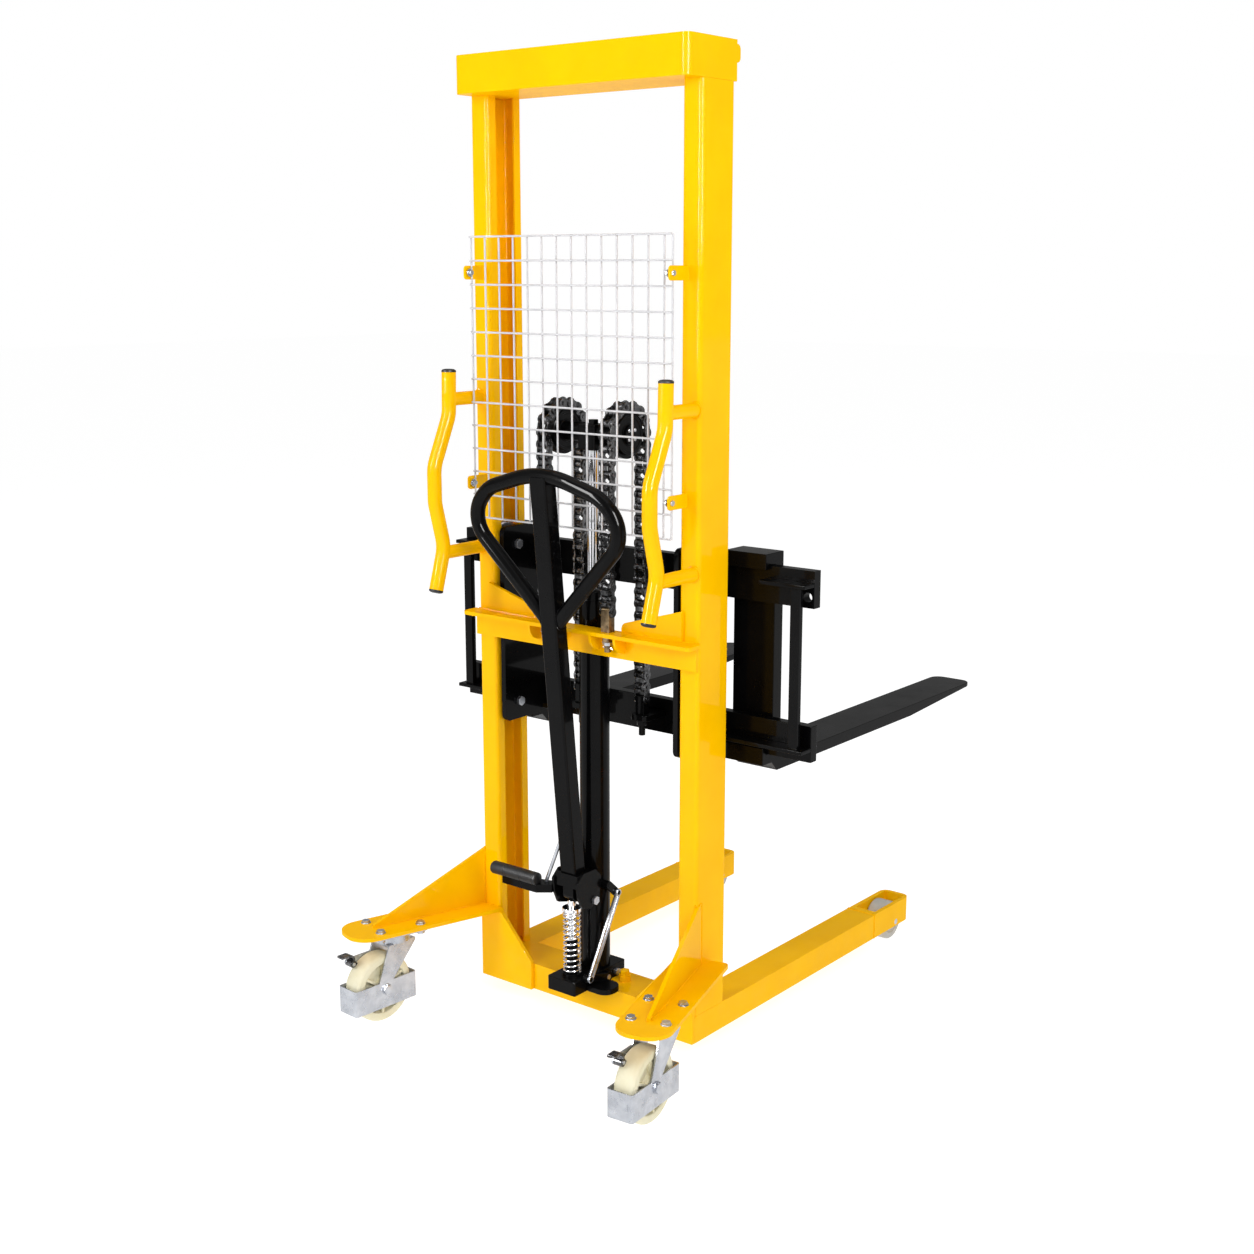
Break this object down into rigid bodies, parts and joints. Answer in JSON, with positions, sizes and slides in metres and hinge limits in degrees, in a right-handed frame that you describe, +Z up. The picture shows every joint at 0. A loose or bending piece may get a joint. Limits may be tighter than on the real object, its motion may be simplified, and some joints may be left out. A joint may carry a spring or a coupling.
{
  "type": "hand pallet stacker",
  "caption": "Hand pallet stacker: twin-channel mast with a chain-lifted fork carriage, hand pump tiller, wire guard, straddle legs and braked casters.",
  "frame": {"origin": "floor level under the middle of the whole object's box, on the centre plane of the mast", "axes": "+X to the operator's right when facing the forks, +Y towards the fork tips, +Z up"},
  "size_m": [0.94, 1.3986, 2.03],
  "materials": {
    "yellow_paint": "gloss powder coat",
    "black_paint": "semi-gloss powder coat",
    "chrome": "polished",
    "zinc_plate": "zinc plated",
    "chain_steel": "oiled dark steel",
    "yellow_zinc": "yellow passivated zinc",
    "white_coat": "plastic coated wire",
    "cream_nylon": "moulded nylon",
    "grey_nylon": "moulded nylon",
    "black_plastic": "moulded"
  },
  "bodies": {
    "frame": {"mast_channel_right": "yellow_paint", "mast_channel_left": "yellow_paint", "top_beam": "yellow_paint", "base_crossmember": "yellow_paint", "leg_right": "yellow_paint", "leg_left": "yellow_paint", "base_gussets": "yellow_paint", "outriggers": "yellow_paint", "load_axles": "zinc_plate", "chain_crossbeam": "yellow_paint", "chain_anchor_bolts": "yellow_zinc", "push_handles": "yellow_paint", "push_handle_caps": "black_plastic", "mesh_guard": "white_coat", "mesh_screws": "zinc_plate", "lift_cylinder": "black_paint", "cylinder_gland": "black_paint", "pump_block": "black_paint", "pump_fittings": "zinc_plate", "pump_spring": "chrome", "pivot_lug": "black_paint", "pivot_pin": "zinc_plate", "caster_plates": "zinc_plate", "caster_bolts": "zinc_plate", "chain_rear_runs": "chain_steel"},
    "lift": {"lift_ram": "chrome", "crosshead": "black_paint", "chain_wraps": "chain_steel", "chain_front_runs": "chain_steel"},
    "chain_wheel_right": {"chain_wheel_right": "black_paint"},
    "chain_wheel_left": {"chain_wheel_left": "black_paint"},
    "carriage": {"carriage_bar_upper": "black_paint", "carriage_bar_lower": "black_paint", "carriage_struts": "black_paint", "roller_plates": "black_paint", "roller_axles": "zinc_plate", "chain_lower_anchors": "black_paint"},
    "mast_roller_upper_right": {"mast_roller_upper_right": "zinc_plate"},
    "mast_roller_upper_left": {"mast_roller_upper_left": "zinc_plate"},
    "mast_roller_lower_right": {"mast_roller_lower_right": "zinc_plate"},
    "mast_roller_lower_left": {"mast_roller_lower_left": "zinc_plate"},
    "fork_right": {"fork_right": "black_paint"},
    "fork_left": {"fork_left": "black_paint"},
    "tiller": {"pump_lever": "black_paint", "tiller_bar": "black_paint", "tiller_loop": "black_paint", "pedal_arm": "black_paint", "pedal_roll": "black_plastic"},
    "plunger": {"pump_plunger": "chrome"},
    "release_arm": {"release_arm": "black_paint"},
    "release_link": {"release_link": "zinc_plate"},
    "valve_lever": {"valve_lever": "black_paint"},
    "caster_right": {"caster_fork_right": "zinc_plate"},
    "caster_wheel_right": {"caster_wheel_right": "cream_nylon"},
    "caster_brake_right": {"caster_brake_right": "zinc_plate"},
    "load_roller_right": {"load_roller_right": "grey_nylon"},
    "caster_left": {"caster_fork_left": "zinc_plate"},
    "caster_wheel_left": {"caster_wheel_left": "cream_nylon"},
    "caster_brake_left": {"caster_brake_left": "zinc_plate"},
    "load_roller_left": {"load_roller_left": "grey_nylon"}
  },
  "joints": [
    {"name": "lift_slide", "type": "slide", "parent": "frame", "child": "lift", "axis": [0, 0, 1], "range_m": [-0.24, 0.435], "deforming": ["chain_rear_runs"]},
    {"name": "carriage_slide", "type": "slide", "parent": "lift", "child": "carriage", "axis": [0, 0, 1], "range_m": [-0.241, 0.436], "deforming": ["chain_front_runs"]},
    {"name": "chain_wheel_right_spin", "type": "hinge", "parent": "lift", "child": "chain_wheel_right", "pos_m": [0.083, -0.30868, 1.281], "axis": [1, 0, 0], "range_deg": [-243, 439]},
    {"name": "chain_wheel_left_spin", "type": "hinge", "parent": "lift", "child": "chain_wheel_left", "pos_m": [-0.083, -0.30868, 1.281], "axis": [1, 0, 0], "range_deg": [-243, 439]},
    {"name": "mast_roller_upper_right_spin", "type": "hinge", "parent": "carriage", "child": "mast_roller_upper_right", "pos_m": [0.272, -0.29268, 1.026], "axis": [1, 0, 0], "range_deg": [-1077, 595]},
    {"name": "mast_roller_upper_left_spin", "type": "hinge", "parent": "carriage", "child": "mast_roller_upper_left", "pos_m": [-0.272, -0.29268, 1.026], "axis": [1, 0, 0], "range_deg": [-1077, 595]},
    {"name": "mast_roller_lower_right_spin", "type": "hinge", "parent": "carriage", "child": "mast_roller_lower_right", "pos_m": [0.272, -0.29268, 0.676], "axis": [1, 0, 0], "range_deg": [-595, 1077]},
    {"name": "mast_roller_lower_left_spin", "type": "hinge", "parent": "carriage", "child": "mast_roller_lower_left", "pos_m": [-0.272, -0.29268, 0.676], "axis": [1, 0, 0], "range_deg": [-595, 1077]},
    {"name": "fork_right_slide", "type": "slide", "parent": "carriage", "child": "fork_right", "axis": [1, 0, 0], "range_m": [-0.2, 0.1]},
    {"name": "fork_left_slide", "type": "slide", "parent": "carriage", "child": "fork_left", "axis": [-1, 0, 0], "range_m": [-0.2, 0.1]},
    {"name": "tiller_pivot", "type": "hinge", "parent": "frame", "child": "tiller", "pos_m": [0, -0.35468, 0.292], "axis": [1, 0, 0], "range_deg": [0, 60], "stiffness_Nm_per_rad": 9.15, "springref_deg": -82.91},
    {"name": "plunger_slide", "type": "slide", "parent": "frame", "child": "plunger", "axis": [0, 0, -1], "range_m": [0, 0.0342], "deforming": ["pump_spring"]},
    {"name": "release_arm_pivot", "type": "hinge", "parent": "frame", "child": "release_arm", "pos_m": [0.044, -0.32068, 0.318], "axis": [1, 0, 0], "range_deg": [0, 25]},
    {"name": "release_link_pivot", "type": "hinge", "parent": "release_arm", "child": "release_link", "pos_m": [0.0536, -0.29668, 0.296], "axis": [1, 0, 0], "range_deg": [-27, 1]},
    {"name": "valve_lever_pivot", "type": "hinge", "parent": "frame", "child": "valve_lever", "pos_m": [0.038, -0.32268, 0.109], "axis": [1, 0, 0], "range_deg": [-13, 0]},
    {"name": "caster_right_swivel", "type": "hinge", "parent": "frame", "child": "caster_right", "pos_m": [0.36466, -0.56272, 0.197], "axis": [0, 0, 1], "continuous": true},
    {"name": "caster_wheel_right_roll", "type": "hinge", "parent": "caster_right", "child": "caster_wheel_right", "pos_m": [0.36835, -0.60958, 0.075], "axis": [0.9969, 0.0785, 0], "continuous": true},
    {"name": "caster_brake_right_lift", "type": "hinge", "parent": "caster_right", "child": "caster_brake_right", "pos_m": [0.35595, -0.66873, 0.139], "axis": [-0.9969, -0.0785, 0], "range_deg": [0, 6]},
    {"name": "load_roller_right_roll", "type": "hinge", "parent": "frame", "child": "load_roller_right", "pos_m": [0.259, 0.48531, 0.046], "axis": [1, 0, 0], "continuous": true},
    {"name": "caster_left_swivel", "type": "hinge", "parent": "frame", "child": "caster_left", "pos_m": [-0.36466, -0.56272, 0.197], "axis": [0, 0, 1], "continuous": true},
    {"name": "caster_wheel_left_roll", "type": "hinge", "parent": "caster_left", "child": "caster_wheel_left", "pos_m": [-0.36835, -0.60958, 0.075], "axis": [0.9969, -0.0785, 0], "continuous": true},
    {"name": "caster_brake_left_lift", "type": "hinge", "parent": "caster_left", "child": "caster_brake_left", "pos_m": [-0.38985, -0.66607, 0.139], "axis": [-0.9969, 0.0785, 0], "range_deg": [0, 6]},
    {"name": "load_roller_left_roll", "type": "hinge", "parent": "frame", "child": "load_roller_left", "pos_m": [-0.259, 0.48531, 0.046], "axis": [1, 0, 0], "continuous": true}
  ],
  "couplings": [
    {"joint": "carriage_slide", "follows": "lift_slide", "ratio": 1},
    {"joint": "chain_wheel_right_spin", "follows": "lift_slide", "rad_per_m": 17.521},
    {"joint": "chain_wheel_left_spin", "follows": "lift_slide", "rad_per_m": 17.521},
    {"joint": "mast_roller_upper_right_spin", "follows": "lift_slide", "rad_per_m": -43.103},
    {"joint": "mast_roller_upper_left_spin", "follows": "lift_slide", "rad_per_m": -43.103},
    {"joint": "mast_roller_lower_right_spin", "follows": "lift_slide", "rad_per_m": 43.103},
    {"joint": "mast_roller_lower_left_spin", "follows": "lift_slide", "rad_per_m": 43.103},
    {"joint": "plunger_slide", "follows": "tiller_pivot", "m_per_rad": 0.032468},
    {"joint": "release_link_pivot", "follows": "release_arm_pivot", "ratio": -1.0345},
    {"joint": "valve_lever_pivot", "follows": "release_arm_pivot", "ratio": -0.4605}
  ]
}
